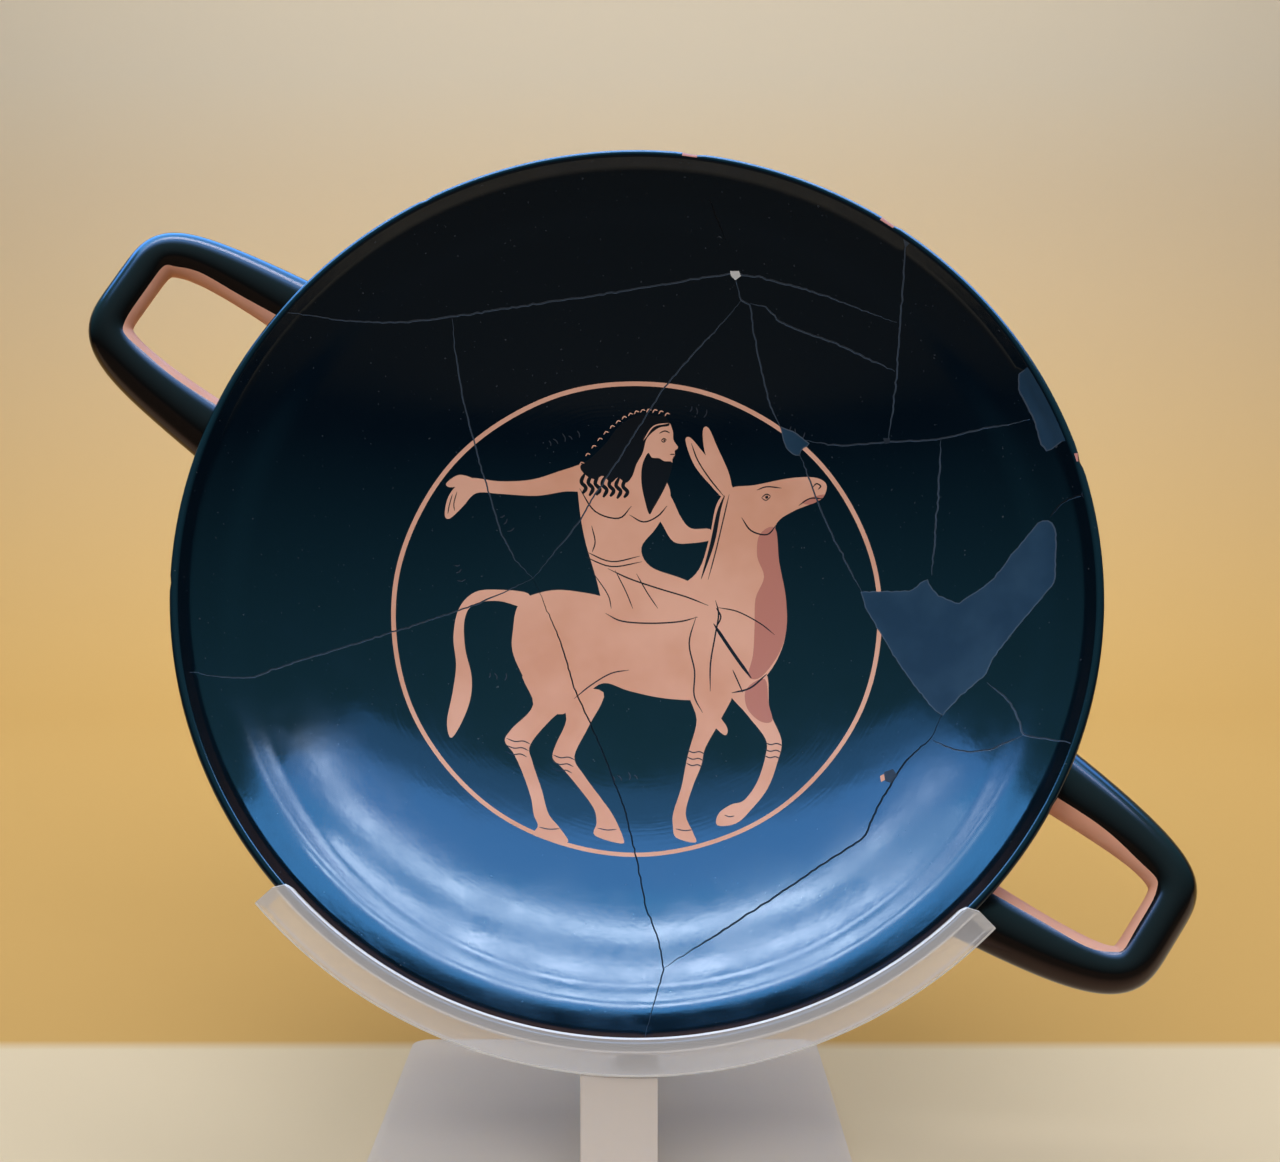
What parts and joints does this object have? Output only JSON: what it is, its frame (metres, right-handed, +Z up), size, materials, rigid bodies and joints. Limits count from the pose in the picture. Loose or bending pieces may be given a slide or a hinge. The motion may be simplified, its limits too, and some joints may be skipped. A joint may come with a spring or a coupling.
{
  "type": "kylix cup on display cradle",
  "caption": "Shallow stemmed drinking cup with two loop handles and a painted floor roundel, leaning back in a clear rim cradle on a post and base plate.",
  "frame": {"origin": "centre of the base plate's underside", "axes": "+Z up, -Y towards the side that the cup's mouth faces, +X to that viewer's right"},
  "size_m": [0.2778, 0.172, 0.2601],
  "materials": {
    "black_gloss": "satin blue-black slip, with reserved orange clay and matt grey-blue fills",
    "clear_acrylic": "clear, slightly hazed acrylic with polished edges"
  },
  "bodies": {
    "root": {"kylix": "black_gloss", "rim_cradle": "clear_acrylic", "front_post": "clear_acrylic", "rear_post": "clear_acrylic", "base_plate": "clear_acrylic"}
  },
  "joints": []
}
